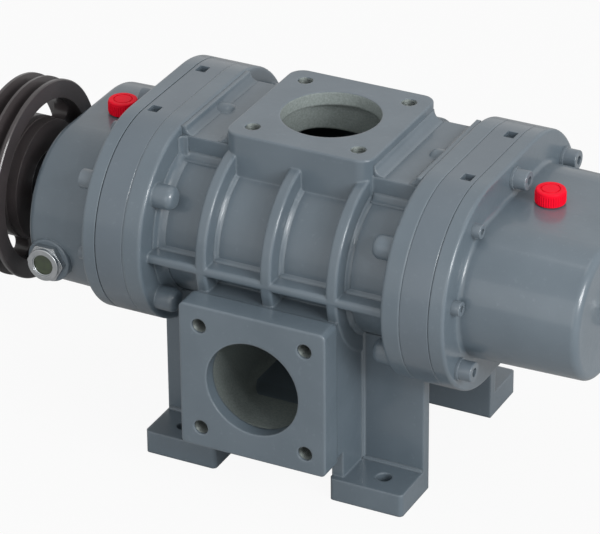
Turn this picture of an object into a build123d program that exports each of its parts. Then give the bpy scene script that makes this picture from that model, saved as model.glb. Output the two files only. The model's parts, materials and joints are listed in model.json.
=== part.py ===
"""Three-lobe rotary vacuum pump, modelled as the separate pieces it is built from.

Frame: +X along the shafts from the belt pulley to the gear cover, -Y towards the outlet
flange, +Z up. The origin lies on the floor, midway between the four foot holes.
All lengths are millimetres.
"""

import os
from dataclasses import dataclass
from math import atan2, cos, degrees, hypot, pi, radians, sin, tan

from build123d import *

# ---------------------------------------------------------------- driving dimensions
# Rotors and shafts
TOOTH_MODULE = 3.0
GEAR_TEETH = 30
SHAFT_SPACING = TOOTH_MODULE * GEAR_TEETH  # the timing gears set the distance between the shafts
AXIS_Z = 210.0
LOBES = 3
LOBE_CLEARANCE = 0.15  # taken off each rotor's flanks
TIP_CLEARANCE = 0.3
END_CLEARANCE = 0.3
ROTOR_SHAFT_R = 19.0
JOURNAL_R = 17.5
GEAR_SEAT_R = 16.0
THREAD_R = 15.0
RUNNING_GAP = 0.06

# Casing
CASING_HALF_LENGTH = 134.0
CASING_WALL = 7.0
CASING_FLANGE = 18.0
FLANGE_R = 96.0
FLANGE_CENTRE_Y = 48.0
RIB_HEIGHT = 19.0
RIB_THICKNESS = 11.0
RIB_PITCH = 63.5
BELT_RIB_Z = 204.5
BELT_RIB_THICKNESS = 9.0
ROOF_HALF_WIDTH = 62.0

# Ports
PORT_PAD = 142.0
PORT_BORE_R = 45.0
PORT_BOLT_PITCH = 102.5
PORT_BOLT_R = 7.0
PORT_BOLT_DEPTH = 22.0
INLET_FACE_Z = 313.0
INLET_PAD_CORNER = 14.0
OUTLET_FACE_Y = -158.0
OUTLET_PAD_DEPTH = 24.0
OUTLET_Z = 116.0
OUTLET_PAD_CORNER = 5.0
PORT_LIP = 13.0
CAVITY = 108.0
CAVITY_CORNER = 38.0
DUCT_SIDE_STEP = 3.0

# Feet
FOOT_PITCH_X = 200.0
FOOT_PITCH_Y = 200.0
FOOT_HOLE_R = 7.0
FOOT_INNER_X = 57.0
FOOT_OUTER_X = 128.0
FOOT_OUTER_Y = 122.5
FOOT_INNER_Y = 67.0
FOOT_THICKNESS = 22.0
LEG_THICKNESS = 10.5
CHEEK_THICKNESS = 11.0

# Side plates and their bearings
PLATE_THICKNESS = 27.0
PLATE_WEB = 6.0
SEAL_SEAT_R = 28.0
BEARING_R = 36.0
BEARING_WIDTH = 21.0
BEARING_INNER_R = 22.4
BEARING_OUTER_R = 31.2
BALL_R = 5.8
BALLS = 9
RETAINER_R = 43.0
RETAINER_SCREW_R = 39.5
BALL_GAP = 0.08
PRY_SLOT_Y = 45.0
PRY_SLOT = (10.0, 12.0, 6.0)

# Covers
GASKET = 0.5
COVER_FLANGE = 14.0
COVER_WALL = 7.0
COVER_TAPER = 1.2
GEAR_COVER_END = 285.0
PULLEY_COVER_END = 247.0
FILLER_X = 210.0
FILLER_HOLE_R = 10.0
DRAIN_X = 228.0
DRAIN_HOLE_R = 6.0

# Screw places, as (y, z) from the middle of the flange, seen with the end at +X
TOP_SCREW = (0.0, 80.0)
BOTTOM_SCREW = (0.0, -77.0)
UPPER_SCREWS = [(-111.0, 49.0), (111.0, 49.0)]
LOWER_SCREWS = [(-110.0, -53.0), (110.0, -53.0)]
LARGE_R = 6.0
SMALL_R = 4.0
SCREW_GAP = 0.1
LARGE_SCREW_END = 104.0
SMALL_SCREW_GRIP = 20.0
BOSS_R = 11.0
BOSS_LENGTH = 20.0

# Timing gears
GEAR_START = 180.0
GEAR_END = 224.0
GEAR_HUB_R = 24.0
BACKLASH = 0.2
NUT_R = 22.0
NUT_WIDTH = 10.0
DRIVEN_PULLEY_END = 204.0
SLINGER_R = 52.0
SLINGER_WIDTH = 4.0

# Belt pulley
PULLEY_R = 92.5
PULLEY_START = 266.0
GROOVES = 2
GROOVE_PITCH = 15.0
GROOVE_EDGE = 10.0
GROOVE_TOP = 12.7
GROOVE_DEPTH = 13.0
GROOVE_ANGLE = 38.0
RIM_DEPTH = 17.0
HUB_R = 56.0
BUSH_R = 32.0
BUSH_TAPER = 4.0
PULLEY_WEB = 14.0
WINDOWS = 3
WINDOW_SPAN = 82.0
WINDOW_TURN = 82.5
SHAFT_STICK_OUT = 3.0

# Sight glasses and filler caps
GLASS_HEX_R = 18.5
GLASS_HEX_THICKNESS = 6.0
GLASS_RING_R = 15.5
GLASS_THREAD_R = 13.0
GLASS_R = 10.6
GLASS_BOSS_R = 21.0
GLASS_FACE_Y = 118.0
GLASS_Z = 171.0
GLASS_X = 225.0
CAP_R = 13.8
CAP_HEIGHT = 12.5
CAP_RIDGES = 40
CAP_STEM = 9.0

# ---------------------------------------------------------------- derived places
SHAFT_Y = SHAFT_SPACING / 2
DRIVE_Y = -SHAFT_Y
DRIVEN_Y = SHAFT_Y
PITCH_R = SHAFT_SPACING / 2
ROLLING_R = PITCH_R / (2 * LOBES)
TIP_R = PITCH_R + 2 * ROLLING_R
CHAMBER_R = TIP_R + TIP_CLEARANCE
BODY_R = CHAMBER_R + CASING_WALL
RIB_R = BODY_R + RIB_HEIGHT
ROOF_Z = AXIS_Z + RIB_R
BODY_HALF_LENGTH = CASING_HALF_LENGTH - CASING_FLANGE
PLATE_END = CASING_HALF_LENGTH + PLATE_THICKNESS
BEARING_START = CASING_HALF_LENGTH + PLATE_WEB
COVER_START = PLATE_END + GASKET
COVER_FACE = COVER_START + COVER_FLANGE
PORT_HALF = PORT_BOLT_PITCH / 2
DUCT_HALF = PORT_PAD / 2 - DUCT_SIDE_STEP
DUCT_BACK_Y = FOOT_INNER_Y + LEG_THICKNESS
PULLEY_WIDTH = (GROOVES - 1) * GROOVE_PITCH + 2 * GROOVE_EDGE
TURNED = Rot(0, 0, 180)  # carries a piece of the gear end to the pulley end


@dataclass(frozen=True)
class EndPlan:
    """What differs between the two ends, each seen with its end at +X."""

    body_r: float  # radius of the cover's rounded sides
    body_y: float  # the centres of those radii, either side of the middle
    body_z: float
    length: float
    large: tuple  # screws through cover, side plate and casing
    hidden: tuple  # screws sunk in the side plate, under the cover's flange
    small: tuple  # screws from cover to side plate

    @property
    def top_z(self):
        """The height of the cover's flat top."""
        return self.body_z + self.body_r


GEAR_PLAN = EndPlan(
    body_r=64.0,
    body_y=53.0,
    body_z=AXIS_Z + 1,
    length=GEAR_COVER_END,
    large=(TOP_SCREW, BOTTOM_SCREW, UPPER_SCREWS[1], LOWER_SCREWS[0]),
    hidden=(UPPER_SCREWS[0], LOWER_SCREWS[1]),
    small=((-83.0, 68.5), (83.0, -65.5), (-123.5, 14.0), (123.5, -11.0)),
)
PULLEY_PLAN = EndPlan(
    body_r=76.0,
    body_y=41.0,
    body_z=AXIS_Z - 15,
    length=PULLEY_COVER_END,
    large=(TOP_SCREW, UPPER_SCREWS[0], UPPER_SCREWS[1]),
    hidden=(BOTTOM_SCREW, LOWER_SCREWS[0], LOWER_SCREWS[1]),
    small=((-129.5, -14.0), (129.5, -14.0), (-64.0, 79.0), (64.0, 79.0)),
)


# ---------------------------------------------------------------- helpers
def along_x(sketch, start, end):
    """A flat shape, drawn in Y and Z, as a solid from one X to another."""
    return Pos(start, 0, 0) * extrude(Plane.YZ * sketch, end - start)


def rod_x(y, z, radius, start, end):
    """A round bar along X."""
    return along_x(Pos(y, z) * Circle(radius), start, end)


def ring_x(y, z, outer, inner, start, end):
    """A round tube along X."""
    return along_x(Pos(y, z) * (Circle(outer) - Circle(inner)), start, end)


def rod_y(x, z, radius, start, end):
    """A round bar along Y."""
    return Pos(x, start, z) * extrude(Plane.XZ * Circle(radius), -(end - start))


def rod_z(x, y, radius, start, end):
    """A round bar along Z."""
    return Pos(x, y, start) * extrude(Circle(radius), end - start)


def block(x, y, z):
    """A box from its three (low, high) ranges."""
    size = [high - low for low, high in (x, y, z)]
    return Pos(x[0], y[0], z[0]) * Box(*size, align=Align.MIN)


def stadium(centre_y, radius, z):
    """A flat-topped outline with two round sides, about a height."""
    return Pos(0, z) * SlotCenterToCenter(2 * centre_y, 2 * radius)


def end_outline(inset=0):
    """The outline shared by the casing's end flanges, the plates and the covers."""
    return stadium(FLANGE_CENTRE_Y, FLANGE_R - inset, AXIS_Z)


def cover_outline(plan, inset=0):
    """The outline of a cover's body."""
    return stadium(plan.body_y, plan.body_r - inset, plan.body_z)


def twin_outline(radius):
    """The outline round both shafts at one radius."""
    return Pos(0, AXIS_Z) * SlotCenterToCenter(SHAFT_SPACING, 2 * radius)


def holes_x(places, radius, start, end):
    """Round bars along X at places given from the middle of the end flange."""
    return [rod_x(y, AXIS_Z + z, radius, start, end) for y, z in places]


def four_corners(half_x, half_y):
    """The four corners of a rectangle about the origin."""
    return [(sx * half_x, sy * half_y) for sx in (-1, 1) for sy in (-1, 1)]


# ---------------------------------------------------------------- casing
def casing_end(plan):
    """One end flange of the casing with the screw bosses behind it."""
    flange = along_x(end_outline(), BODY_HALF_LENGTH, CASING_HALF_LENGTH)
    inner_rim = flange.edges().filter_by_position(Axis.X, BODY_HALF_LENGTH - 0.1, BODY_HALF_LENGTH + 0.1)
    end = fillet(inner_rim, 3)
    for y, z in plan.large + plan.hidden:
        boss = rod_x(y, AXIS_Z + z, BOSS_R, BODY_HALF_LENGTH - BOSS_LENGTH, CASING_HALF_LENGTH)
        nose = boss.edges().filter_by_position(
            Axis.X, BODY_HALF_LENGTH - BOSS_LENGTH - 0.1, BODY_HALF_LENGTH - BOSS_LENGTH + 0.1
        )
        end += fillet(nose, 0.6 * BOSS_R)
    return end


def casing_foot(x_side, y_side):
    """One foot with its leg plate and the cheek that ties it to the outlet box."""
    reach = (FOOT_INNER_X, FOOT_OUTER_X)
    foot = block(reach, (FOOT_INNER_Y, FOOT_OUTER_Y), (0, FOOT_THICKNESS))
    foot = fillet(foot.edges().filter_by(Axis.Z).group_by(Axis.Y)[-1], 4)
    leg = block(reach, (FOOT_INNER_Y, DUCT_BACK_Y), (0, AXIS_Z - CHAMBER_R))
    cheek = block(
        (FOOT_INNER_X, FOOT_INNER_X + CHEEK_THICKNESS),
        (FOOT_INNER_Y, FOOT_OUTER_Y - 6),
        (0, OUTLET_Z - PORT_PAD / 2 + 6),
    )
    solid = foot + leg + cheek
    solid -= rod_z(FOOT_PITCH_X / 2, FOOT_PITCH_Y / 2, FOOT_HOLE_R, -1, FOOT_THICKNESS + 1)
    if x_side < 0:
        solid = mirror(solid, about=Plane.YZ)
    if y_side < 0:
        solid = mirror(solid, about=Plane.XZ)
    return solid


def port_pad(corner, depth):
    """A square port pad with rounded corners, lying flat with its face up at Z = 0."""
    pad = Pos(0, 0, -depth) * extrude(RectangleRounded(PORT_PAD, PORT_PAD, corner), depth)
    return fillet(pad.edges().group_by(Axis.Z)[-1], 1.2)


def port_cuts(cavity_depth):
    """The bore, its undercut and the four tapped holes of a port, face up at Z = 0."""
    cuts = rod_z(0, 0, PORT_BORE_R, -PORT_LIP - 1, 1)
    undercut = extrude(RectangleRounded(CAVITY, CAVITY, CAVITY_CORNER), cavity_depth)
    cuts += Pos(0, 0, -PORT_LIP - cavity_depth) * undercut
    for x, y in four_corners(PORT_HALF, PORT_HALF):
        cuts += rod_z(x, y, PORT_BOLT_R, -PORT_BOLT_DEPTH, 1)
    return cuts


def make_casing():
    """The central casting: rotor chamber, ribs, both ports and the four feet."""
    span = (-BODY_HALF_LENGTH, BODY_HALF_LENGTH)
    body = along_x(twin_outline(BODY_R), *span)
    for k in (-1, 0, 1):
        middle = k * RIB_PITCH
        rib = along_x(twin_outline(RIB_R), middle - RIB_THICKNESS / 2, middle + RIB_THICKNESS / 2)
        body += fillet(rib.edges(), 2.5)
    roof = Pos(0, (AXIS_Z + ROOF_Z) / 2) * Rectangle(2 * ROOF_HALF_WIDTH, ROOF_Z - AXIS_Z)
    body += along_x(roof, *span)
    belt = Pos(0, BELT_RIB_Z) * RectangleRounded(
        2 * (SHAFT_Y + RIB_R), BELT_RIB_THICKNESS, 0.4 * BELT_RIB_THICKNESS
    )
    body += along_x(belt, *span)

    outlet_low = OUTLET_Z - PORT_PAD / 2
    outlet_high = OUTLET_Z + PORT_PAD / 2
    pad_back_y = OUTLET_FACE_Y + OUTLET_PAD_DEPTH
    duct = block(
        (-DUCT_HALF, DUCT_HALF),
        (pad_back_y, DRIVE_Y),
        (outlet_low + DUCT_SIDE_STEP, outlet_high - DUCT_SIDE_STEP),
    )
    sump = block(
        (-DUCT_HALF, DUCT_HALF),
        (pad_back_y, DUCT_BACK_Y),
        (outlet_low + DUCT_SIDE_STEP, AXIS_Z - CHAMBER_R + CASING_WALL),
    )
    body += duct + sump
    body += Pos(0, 0, INLET_FACE_Z) * port_pad(INLET_PAD_CORNER, INLET_FACE_Z - AXIS_Z - 60)
    to_outlet = Pos(0, OUTLET_FACE_Y, OUTLET_Z) * Rot(90, 0, 0)
    body += to_outlet * port_pad(OUTLET_PAD_CORNER, OUTLET_PAD_DEPTH)
    body += casing_end(GEAR_PLAN)
    body += TURNED * casing_end(PULLEY_PLAN)
    for x_side in (-1, 1):
        for y_side in (-1, 1):
            body += casing_foot(x_side, y_side)

    # the chamber, then both ports down to it
    body -= along_x(twin_bores(CHAMBER_R), -CASING_HALF_LENGTH - 1, CASING_HALF_LENGTH + 1)
    body -= Pos(0, 0, INLET_FACE_Z) * port_cuts(INLET_FACE_Z - AXIS_Z - PORT_LIP)
    body -= outlet_passage(pad_back_y, outlet_low)
    body -= to_outlet * port_cuts(OUTLET_PAD_DEPTH - PORT_LIP + 0.5)
    for plan, turn in ((GEAR_PLAN, Pos(0, 0, 0)), (PULLEY_PLAN, TURNED)):
        places = plan.large + plan.hidden
        for hole in holes_x(places, LARGE_R, LARGE_SCREW_END - 2, CASING_HALF_LENGTH + 1):
            body -= turn * hole
    return body


def twin_bores(radius):
    """Two circles, one on each shaft."""
    return Pos(-SHAFT_Y, AXIS_Z) * Circle(radius) + Pos(SHAFT_Y, AXIS_Z) * Circle(radius)


def outlet_passage(pad_back_y, outlet_low):
    """The hollow that leads from the underside of the chamber to the outlet pad."""
    floor_z = outlet_low + DUCT_SIDE_STEP + 10
    roof_z = AXIS_Z - BODY_R - 9
    middle_z = (floor_z + roof_z) / 2
    mouth = Pos(0, OUTLET_Z) * RectangleRounded(CAVITY, CAVITY - 6, CAVITY_CORNER)
    throat = Pos(0, middle_z) * RectangleRounded(CAVITY, roof_z - floor_z, 12)
    turn_y = DRIVE_Y - 10
    funnel = loft(
        [Plane.XZ.offset(-pad_back_y) * mouth, Plane.XZ.offset(-turn_y) * throat], ruled=True
    )
    tunnel_end_y = DUCT_BACK_Y - 30
    tunnel = extrude(Plane.XZ.offset(-turn_y) * throat, -(tunnel_end_y - turn_y))
    riser = Pos(0, 0, middle_z) * extrude(
        RectangleRounded(CAVITY, 2 * tunnel_end_y - 6, 20), AXIS_Z - middle_z
    )
    return funnel + tunnel + riser


# ---------------------------------------------------------------- side plates
def make_side_plate(plan):
    """The plate that closes one end of the chamber and carries two bearings."""
    plate = along_x(end_outline(), CASING_HALF_LENGTH, PLATE_END)
    plate = chamfer(plate.edges(), 0.6)
    for y in (DRIVE_Y, DRIVEN_Y):
        plate -= rod_x(y, AXIS_Z, SEAL_SEAT_R, CASING_HALF_LENGTH - 1, PLATE_END)
        plate -= rod_x(y, AXIS_Z, BEARING_R, BEARING_START, PLATE_END + 1)
        for hole in retainer_screw_places(y):
            plate -= rod_x(*hole, 3.0, PLATE_END - 14, PLATE_END + 1)
    along, across, deep = PRY_SLOT
    top = AXIS_Z + FLANGE_R
    for y in (-PRY_SLOT_Y, PRY_SLOT_Y):
        middle = PLATE_END - 9
        plate -= block(
            (middle - along / 2, middle + along / 2), (y - across / 2, y + across / 2), (top - deep, top + 1)
        )
    through = plan.large + plan.hidden
    for hole in holes_x(through, LARGE_R + 0.6, CASING_HALF_LENGTH - 1, PLATE_END + 1):
        plate -= hole
    for recess in holes_x(plan.hidden, 10.5, PLATE_END - 13.5, PLATE_END + 1):
        plate -= recess
    for hole in holes_x(plan.small, SMALL_R, PLATE_END - SMALL_SCREW_GRIP - 2, PLATE_END + 1):
        plate -= hole
    return plate


def retainer_screw_places(y):
    """Where the three screws of one bearing retainer go: (y, z) pairs."""
    outward = 180 if y < 0 else 0
    turns = [radians(outward + step) for step in (0, 120, 240)]
    return [(y + RETAINER_SCREW_R * cos(a), AXIS_Z + RETAINER_SCREW_R * sin(a)) for a in turns]


def make_retainer(y):
    """The ring that holds a bearing's outer race in the side plate."""
    ring = ring_x(y, AXIS_Z, RETAINER_R, 29.0, PLATE_END, PLATE_END + 4)
    for hole in retainer_screw_places(y):
        ring -= rod_x(*hole, 3.4, PLATE_END - 1, PLATE_END + 6)
    return ring


def make_gasket(plan):
    """The oil gasket between a side plate and its cover."""
    sheet = end_outline(0.8) - cover_outline(plan, COVER_WALL)
    gasket = along_x(sheet, PLATE_END, COVER_START)
    for hole in holes_x(plan.large, LARGE_R + 0.6, PLATE_END - 1, COVER_START + 1):
        gasket -= hole
    for hole in holes_x(plan.small, SMALL_R + 0.5, PLATE_END - 1, COVER_START + 1):
        gasket -= hole
    return gasket


# ---------------------------------------------------------------- covers
def cover_shell(plan):
    """The flanged oil cover of one end, open towards the side plate."""
    flange = along_x(end_outline(), COVER_START, COVER_FACE)
    flange = fillet(flange.edges().group_by(Axis.X)[-1], 3)
    depth = plan.length - COVER_START
    body = Pos(COVER_START, 0, 0) * extrude(Plane.YZ * cover_outline(plan), depth, taper=COVER_TAPER)
    body = fillet(body.edges().group_by(Axis.X)[-1], 7)
    shell = flange + body
    reach = plan.body_y + plan.body_r - COVER_FLANGE * tan(radians(COVER_TAPER))
    on_face = shell.edges().filter_by_position(Axis.X, COVER_FACE - 0.05, COVER_FACE + 0.05)
    root = [edge for edge in on_face if abs(edge.center().Y) <= reach and on_body(edge, plan)]
    shell = fillet(root, 4)
    hollow = cover_outline(plan, COVER_WALL)
    inside = extrude(Plane.YZ * hollow, depth - COVER_WALL + 1, taper=COVER_TAPER)
    shell -= Pos(COVER_START - 1, 0, 0) * inside
    for hole in holes_x(plan.large, LARGE_R + 0.6, COVER_START - 1, COVER_FACE + 1):
        shell -= hole
    for hole in holes_x(plan.small, SMALL_R + 0.5, COVER_START - 1, COVER_FACE + 1):
        shell -= hole
    for seat in holes_x(plan.large, 11.2, COVER_FACE, COVER_FACE + 16):
        shell -= seat
    for seat in holes_x(plan.small, 7.4, COVER_FACE, COVER_FACE + 10):
        shell -= seat
    shell -= rod_z(FILLER_X, 0, FILLER_HOLE_R, AXIS_Z, plan.top_z + 1)
    shell -= rod_z(DRAIN_X, 0, DRAIN_HOLE_R, plan.body_z - plan.body_r - 1, AXIS_Z)
    return shell


def on_body(edge, plan):
    """Whether an edge on the flange's face belongs to the foot of the cover's body."""
    return abs(edge.center().Z - plan.body_z) <= plan.body_r


def make_gear_cover():
    """The long cover over the timing gears, with a level glass in its end wall."""
    shell = cover_shell(GEAR_PLAN)
    return shell - rod_x(DRIVE_Y, AXIS_Z, GLASS_THREAD_R, GEAR_COVER_END - 20, GEAR_COVER_END + 1)


def make_pulley_cover():
    """The short cover at the pulley end, turned afterwards: here the drive shaft is at +Y."""
    shell = cover_shell(PULLEY_PLAN)
    y = -DRIVE_Y
    nose = rod_x(y, AXIS_Z, 34.0, PULLEY_COVER_END - COVER_WALL - 4, PULLEY_COVER_END + 5)
    shell += fillet(nose.edges().group_by(Axis.X)[-1], 2)
    boss = rod_y(GLASS_X, GLASS_Z, GLASS_BOSS_R, 88, GLASS_FACE_Y)
    boss = fillet(boss.edges().group_by(Axis.Y)[-1], 2)
    shell += boss
    shell -= rod_x(y, AXIS_Z, 26.0, PULLEY_COVER_END - 3, PULLEY_COVER_END + 6)
    shell -= rod_x(y, AXIS_Z, GEAR_SEAT_R + 2, PULLEY_COVER_END - 20, PULLEY_COVER_END)
    shell -= rod_y(GLASS_X, GLASS_Z, GLASS_THREAD_R, 60, GLASS_FACE_Y + 1)
    return shell


# ---------------------------------------------------------------- fasteners
def socket_screw(radius, head_r, head_h, start, length, washer):
    """A socket-head screw along X, with its head outwards from start and a washer under it."""
    seat = start + washer
    head = rod_x(0, 0, head_r, seat, seat + head_h)
    head = fillet(head.edges().group_by(Axis.X)[-1], 0.12 * head_r)
    head -= along_x(RegularPolygon(0.5 * head_r, 6), seat + 0.45 * head_h, seat + head_h + 1)
    shank = rod_x(0, 0, radius - SCREW_GAP, start - length, seat)
    pieces = [head + shank]
    if washer:
        pieces.append(ring_x(0, 0, head_r + 1.2, radius + 0.1, start, seat))
    return pieces


def placed(pieces, places):
    """Copies of a few pieces at places given from the middle of the end flange."""
    return [Pos(0, y, AXIS_Z + z) * piece for y, z in places for piece in pieces]


def large_screws(plan):
    """The long screws that clamp cover and side plate to the casing."""
    screw = socket_screw(LARGE_R, 9.0, 12.0, COVER_FACE, COVER_FACE - LARGE_SCREW_END, 2.5)
    return placed(screw, plan.large)


def hidden_screws(plan):
    """The screws sunk in a side plate, under the cover's flange."""
    seat = PLATE_END - 13.5
    return placed(socket_screw(LARGE_R, 9.0, 12.0, seat, seat - LARGE_SCREW_END, 0), plan.hidden)


def small_screws(plan):
    """The short screws that hold a cover to its side plate."""
    length = COVER_FACE - PLATE_END + SMALL_SCREW_GRIP
    return placed(socket_screw(SMALL_R, 6.5, 8.0, COVER_FACE, length, 0), plan.small)


def retainer_screws():
    """The six screws of the two bearing retainers at one end."""
    screw = socket_screw(3.0, 4.5, 5.0, PLATE_END + 4, 14, 0)
    places = retainer_screw_places(DRIVE_Y) + retainer_screw_places(DRIVEN_Y)
    return [Pos(0, y, z) * piece for y, z in places for piece in screw]


# ---------------------------------------------------------------- bearings and seals
def bearing_parts(y):
    """Outer ring, inner ring and balls of one deep-groove bearing at the gear end."""
    start, end = BEARING_START, BEARING_START + BEARING_WIDTH
    middle = (start + end) / 2
    pitch_r = (BEARING_INNER_R + BEARING_OUTER_R) / 2
    groove = Pos(middle, y, AXIS_Z) * Rot(0, 90, 0) * Torus(pitch_r, BALL_R + BALL_GAP)
    outer = ring_x(y, AXIS_Z, BEARING_R, BEARING_OUTER_R, start, end) - groove
    inner = ring_x(y, AXIS_Z, BEARING_INNER_R, JOURNAL_R, start, end) - groove
    balls = []
    for k in range(BALLS):
        turn = 2 * pi * k / BALLS
        balls.append(Pos(middle, y + pitch_r * cos(turn), AXIS_Z + pitch_r * sin(turn)) * Sphere(BALL_R))
    return outer, inner, balls


def chamber_seal(y):
    """The seal ring round a shaft in the web of a side plate."""
    return ring_x(
        y, AXIS_Z, SEAL_SEAT_R, ROTOR_SHAFT_R + RUNNING_GAP, CASING_HALF_LENGTH + 0.3, BEARING_START
    )


def lip_seal():
    """The oil seal in the pulley cover's nose, before that end is turned."""
    return ring_x(
        -DRIVE_Y, AXIS_Z, 26.0, GEAR_SEAT_R + RUNNING_GAP, PULLEY_COVER_END - 3, PULLEY_COVER_END + 4.5
    )


# ---------------------------------------------------------------- rotors
def lobe_point(turn):
    """A point of the three-lobed cycloidal profile, less its clearance, at a turn in radians."""
    step = pi / LOBES
    sector = int((turn % (2 * pi)) // step + 1e-9)
    outside = sector % 2 == 0  # even sectors carry a lobe, odd ones a hollow
    side = 1 if outside else -1
    start = sector * step
    roll = (turn % (2 * pi) - start) * PITCH_R / ROLLING_R
    centre_r = PITCH_R + side * ROLLING_R
    angle = start + (turn % (2 * pi) - start)
    spin = angle + pi + roll if outside else angle - roll
    y = centre_r * cos(angle) + ROLLING_R * cos(spin)
    z = centre_r * sin(angle) + ROLLING_R * sin(spin)
    contact = (PITCH_R * cos(angle), PITCH_R * sin(angle))
    normal_y, normal_z = (y - contact[0]) * side, (z - contact[1]) * side
    length = hypot(normal_y, normal_z)
    if length < 1e-6:
        normal_y, normal_z, length = -sin(start) * 0, 0, 1
    return y - LOBE_CLEARANCE * normal_y / length, z - LOBE_CLEARANCE * normal_z / length


def rotor_outline():
    """The closed rotor profile as arcs through points of the cycloids."""
    arcs_per_sector = 6
    count = 2 * LOBES * arcs_per_sector
    phase = pi / (2 * LOBES)  # puts a lobe's tip on the +Y axis
    points = []
    for k in range(2 * count):
        y, z = lobe_point(k * pi / count + 1e-9)
        y, z = y * cos(phase) + z * sin(phase), z * cos(phase) - y * sin(phase)
        points.append((y, z))
    arcs = [
        ThreePointArc(points[2 * k], points[2 * k + 1], points[(2 * k + 2) % (2 * count)])
        for k in range(count)
    ]
    return make_face(arcs)


def make_rotor(y):
    """A three-lobed rotor on its shaft's bore."""
    length = CASING_HALF_LENGTH - END_CLEARANCE
    profile = Pos(y, AXIS_Z) * (rotor_outline() - Circle(ROTOR_SHAFT_R))
    return along_x(profile, -length, length)


# ---------------------------------------------------------------- shafts
def make_shaft(y, low_end, thread_at_low_end):
    """A stepped shaft: rotor seat, two journals, gear seat and its thread."""
    steps = [
        (-BEARING_START, BEARING_START, ROTOR_SHAFT_R),
        (BEARING_START, PLATE_END, JOURNAL_R),
        (-PLATE_END, -BEARING_START, JOURNAL_R),
        (PLATE_END, GEAR_END, GEAR_SEAT_R),
        (GEAR_END, GEAR_END + NUT_WIDTH + 3, THREAD_R),
        (-low_end, -PLATE_END, GEAR_SEAT_R),
    ]
    shaft = rod_x(y, AXIS_Z, steps[0][2], *steps[0][:2])
    for start, end, radius in steps[1:]:
        shaft += rod_x(y, AXIS_Z, radius, start, end)
    ends = shaft.edges().sort_by(Axis.X)
    shaft = chamfer([ends[0], ends[-1]], 1)
    if thread_at_low_end:
        return shaft
    return shaft - key_slot(y)


def key_slot(y):
    """The keyway milled in the drive shaft under the pulley bush."""
    return block(
        (-PULLEY_START - PULLEY_WIDTH - SHAFT_STICK_OUT - 1, -PULLEY_START - 2),
        (y - 5, y + 5),
        (AXIS_Z + GEAR_SEAT_R - 5, AXIS_Z + GEAR_SEAT_R + 1),
    )


def make_locknut(y, start, bore):
    """A round shaft nut with four spanner slots."""
    nut = ring_x(y, AXIS_Z, NUT_R, bore, start, start + NUT_WIDTH)
    nut = chamfer(nut.edges().group_by(Axis.X)[-1].sort_by(SortBy.RADIUS)[-1], 1)
    slot = block((start - 1, start + NUT_WIDTH + 1), (-3, 3), (NUT_R - 3, NUT_R + 1))
    for k in range(4):
        nut -= Pos(0, y, AXIS_Z) * Rot(45 + 90 * k, 0, 0) * slot
    return nut


def make_slinger(y, start):
    """The oil slinger: a disc with a hub and notches that throw the oil."""
    disc = ring_x(y, AXIS_Z, SLINGER_R, GEAR_SEAT_R, start, start + SLINGER_WIDTH)
    hub = ring_x(y, AXIS_Z, GEAR_SEAT_R + 6, GEAR_SEAT_R, start, start + 4 * SLINGER_WIDTH)
    disc += hub
    notch = block((start - 1, start + SLINGER_WIDTH + 1), (-3, 3), (SLINGER_R - 8, SLINGER_R + 1))
    for k in range(6):
        disc -= Pos(0, y, AXIS_Z) * Rot(60 * k, 0, 0) * notch
    return disc


# ---------------------------------------------------------------- timing gears
def gear_outline(turn):
    """A spur gear's outline: involute flanks drawn as arcs, with backlash taken off."""
    pitch_r = TOOTH_MODULE * GEAR_TEETH / 2
    pressure = radians(20)
    base_r = pitch_r * cos(pressure)
    root_r = pitch_r - 1.25 * TOOTH_MODULE
    tip_r = pitch_r + 0.97 * TOOTH_MODULE
    half_tooth = pi / (2 * GEAR_TEETH) - BACKLASH / (2 * pitch_r)
    pitch_roll = tan(pressure) - pressure

    def flank_angle(radius):
        """Half the tooth's angle at a radius."""
        cosine = min(1.0, base_r / radius)
        roll = (1 - cosine**2) ** 0.5 / cosine
        return half_tooth + pitch_roll - (roll - atan2(roll, 1))

    def polar(radius, angle):
        return radius * cos(angle), radius * sin(angle)

    low_r = max(base_r, root_r + 0.4)
    middle_r = (low_r + tip_r) / 2
    lines = []
    step = 2 * pi / GEAR_TEETH
    for k in range(GEAR_TEETH):
        a = turn + k * step
        low, middle, tip = (flank_angle(r) for r in (low_r, middle_r, tip_r))
        lines.append(ThreePointArc(polar(low_r, a - low), polar(middle_r, a - middle), polar(tip_r, a - tip)))
        lines.append(ThreePointArc(polar(tip_r, a - tip), polar(tip_r, a), polar(tip_r, a + tip)))
        lines.append(ThreePointArc(polar(tip_r, a + tip), polar(middle_r, a + middle), polar(low_r, a + low)))
        lines.append(
            ThreePointArc(polar(low_r, a + low), polar(root_r, a + step / 2), polar(low_r, a + step - low))
        )
    return make_face(lines)


def make_gear(y, turn):
    """A timing gear with a long hub that reaches back to the bearing."""
    teeth = Pos(y, AXIS_Z) * (gear_outline(turn) - Circle(GEAR_SEAT_R))
    gear = along_x(teeth, GEAR_START, GEAR_END)
    hub = ring_x(y, AXIS_Z, GEAR_HUB_R, GEAR_SEAT_R, PLATE_END, GEAR_END)
    recess = ring_x(y, AXIS_Z, 37.0, GEAR_HUB_R + 4, GEAR_END - 12, GEAR_END + 1)
    return gear + hub - recess


# ---------------------------------------------------------------- belt pulley
def groove_cut(middle):
    """A V groove's section in X and radius, about one belt."""
    half_top = GROOVE_TOP / 2
    half_floor = half_top - GROOVE_DEPTH * tan(radians(GROOVE_ANGLE / 2))
    return Polygon(
        (middle - half_top - 0.3, PULLEY_R + 1),
        (middle - half_floor, PULLEY_R - GROOVE_DEPTH),
        (middle + half_floor, PULLEY_R - GROOVE_DEPTH),
        (middle + half_top + 0.3, PULLEY_R + 1),
        align=None,
    )


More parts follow.
